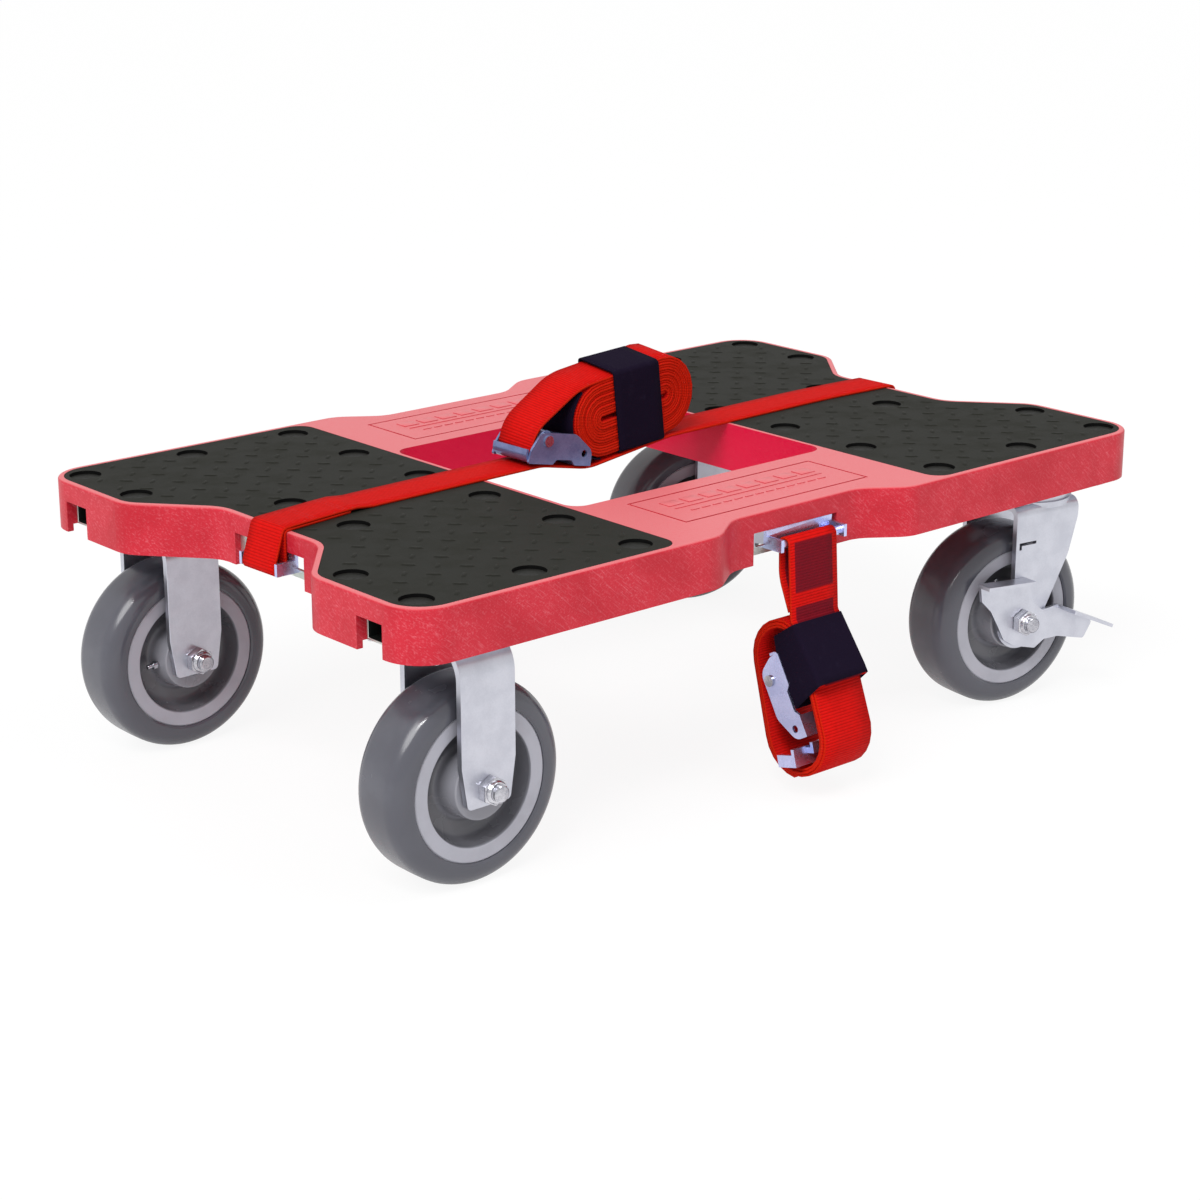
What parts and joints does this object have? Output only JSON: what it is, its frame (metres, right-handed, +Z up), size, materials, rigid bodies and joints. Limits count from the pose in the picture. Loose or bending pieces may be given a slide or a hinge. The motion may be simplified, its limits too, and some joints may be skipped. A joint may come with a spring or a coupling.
{
  "type": "platform dolly",
  "caption": "Low platform dolly: waisted moulded deck with a central opening and tread mats, rigid and braked swivel casters, strap tracks in the sides and cam-buckle straps.",
  "frame": {"origin": "on the floor under the middle of the deck", "axes": "+X along the deck to the swivel caster end, +Y to the rear side, +Z up"},
  "size_m": [0.762, 0.5094, 0.2991],
  "materials": {
    "deck_plastic": "mottled red moulded plastic, scuffed",
    "mat_rubber": "black tread rubber",
    "rivet_plastic": "black push rivets",
    "galvanised_steel": "galvanised plate",
    "zinc_steel": "bright zinc-plated pressing",
    "fastener_steel": "bright zinc-plated fastener",
    "tread": "glossy dark grey polyurethane",
    "core_plastic": "dark grey moulded core",
    "bearing_steel": "ground steel",
    "webbing": "ribbed red polyester webbing",
    "wrap_band": "navy black wrap band",
    "buckle_steel": "zinc-plated buckle steel"
  },
  "bodies": {
    "deck_body": {"deck": "deck_plastic", "tread_mat_left": "mat_rubber", "tread_mat_right": "mat_rubber", "mat_rivets": "rivet_plastic", "track_screws": "fastener_steel", "handle_sockets": "galvanised_steel", "caster_bolts": "fastener_steel", "caster_inserts": "bearing_steel", "rigid_axle_bolts": "fastener_steel", "rigid_axle_nuts": "fastener_steel", "rigid_axle_bushes": "bearing_steel", "kingpins": "bearing_steel", "swivel_balls": "bearing_steel", "top_strap": "webbing", "top_roll": "webbing", "top_band": "wrap_band", "top_buckle_frame": "buckle_steel", "top_fittings": "buckle_steel", "side_strap": "webbing", "side_roll": "webbing", "side_band": "wrap_band", "side_buckle_frame": "buckle_steel", "side_fittings": "buckle_steel", "cam_pins": "fastener_steel", "track_plate_front": "galvanised_steel", "track_plate_rear": "galvanised_steel", "track_plate_left": "galvanised_steel", "track_plate_right": "galvanised_steel", "rigid_fork_front": "zinc_steel", "swivel_plate_front": "zinc_steel", "rigid_fork_rear": "zinc_steel", "swivel_plate_rear": "zinc_steel"},
    "wheel_front_left": {"tyre_front_left": "tread", "wheel_core_front_left": "core_plastic", "roller_bearing_front_left": "bearing_steel", "grease_nipple_front_left": "fastener_steel"},
    "wheel_rear_left": {"tyre_rear_left": "tread", "wheel_core_rear_left": "core_plastic", "roller_bearing_rear_left": "bearing_steel", "grease_nipple_rear_left": "fastener_steel"},
    "wheel_front_right": {"tyre_front_right": "tread", "wheel_core_front_right": "core_plastic", "roller_bearing_front_right": "bearing_steel", "grease_nipple_front_right": "fastener_steel"},
    "wheel_rear_right": {"tyre_rear_right": "tread", "wheel_core_rear_right": "core_plastic", "roller_bearing_rear_right": "bearing_steel", "grease_nipple_rear_right": "fastener_steel"},
    "swivel_front": {"swivel_fork_front": "zinc_steel", "swivel_axle_bolt_front": "fastener_steel", "swivel_axle_nut_front": "fastener_steel", "swivel_axle_bush_front": "bearing_steel"},
    "brake_front": {"brake_lever_front": "zinc_steel"},
    "swivel_rear": {"swivel_fork_rear": "zinc_steel", "swivel_axle_bolt_rear": "fastener_steel", "swivel_axle_nut_rear": "fastener_steel", "swivel_axle_bush_rear": "bearing_steel"},
    "brake_rear": {"brake_lever_rear": "zinc_steel"},
    "top_cam": {"top_cam_lever": "buckle_steel"},
    "side_cam": {"side_cam_lever": "buckle_steel"}
  },
  "joints": [
    {"name": "wheel_front_left_spin", "type": "hinge", "parent": "deck_body", "child": "wheel_front_left", "pos_m": [-0.303, -0.184, 0.0762], "axis": [0, 1, 0], "continuous": true},
    {"name": "wheel_rear_left_spin", "type": "hinge", "parent": "deck_body", "child": "wheel_rear_left", "pos_m": [-0.303, 0.184, 0.0762], "axis": [0, 1, 0], "continuous": true},
    {"name": "swivel_front_turn", "type": "hinge", "parent": "deck_body", "child": "swivel_front", "pos_m": [0.303, -0.186, 0.175], "axis": [0, 0, 1], "continuous": true},
    {"name": "wheel_front_right_spin", "type": "hinge", "parent": "swivel_front", "child": "wheel_front_right", "pos_m": [0.26939, -0.18086, 0.0762], "axis": [0.1513, 0.9885, 0], "continuous": true},
    {"name": "brake_front_press", "type": "hinge", "parent": "swivel_front", "child": "brake_front", "pos_m": [0.26395, -0.21644, 0.0762], "axis": [0.1513, 0.9885, 0], "range_deg": [0, 20]},
    {"name": "swivel_rear_turn", "type": "hinge", "parent": "deck_body", "child": "swivel_rear", "pos_m": [0.303, 0.186, 0.175], "axis": [0, 0, 1], "continuous": true},
    {"name": "wheel_rear_right_spin", "type": "hinge", "parent": "swivel_rear", "child": "wheel_rear_right", "pos_m": [0.27032, 0.19537, 0.0762], "axis": [0.2756, 0.9613, 0], "continuous": true},
    {"name": "brake_rear_press", "type": "hinge", "parent": "swivel_rear", "child": "brake_rear", "pos_m": [0.26039, 0.16077, 0.0762], "axis": [0.2756, 0.9613, 0], "range_deg": [0, 20]},
    {"name": "top_cam_open", "type": "hinge", "parent": "deck_body", "child": "top_cam", "pos_m": [-0.07214, 0.01273, 0.24605], "axis": [0.0314, -0.9995, 0], "range_deg": [0, 40], "stiffness_Nm_per_rad": 0.3},
    {"name": "side_cam_open", "type": "hinge", "parent": "deck_body", "child": "side_cam", "pos_m": [0.006, -0.21073, 0.08843], "axis": [1, 0, 0], "range_deg": [0, 30], "stiffness_Nm_per_rad": 0.3}
  ]
}
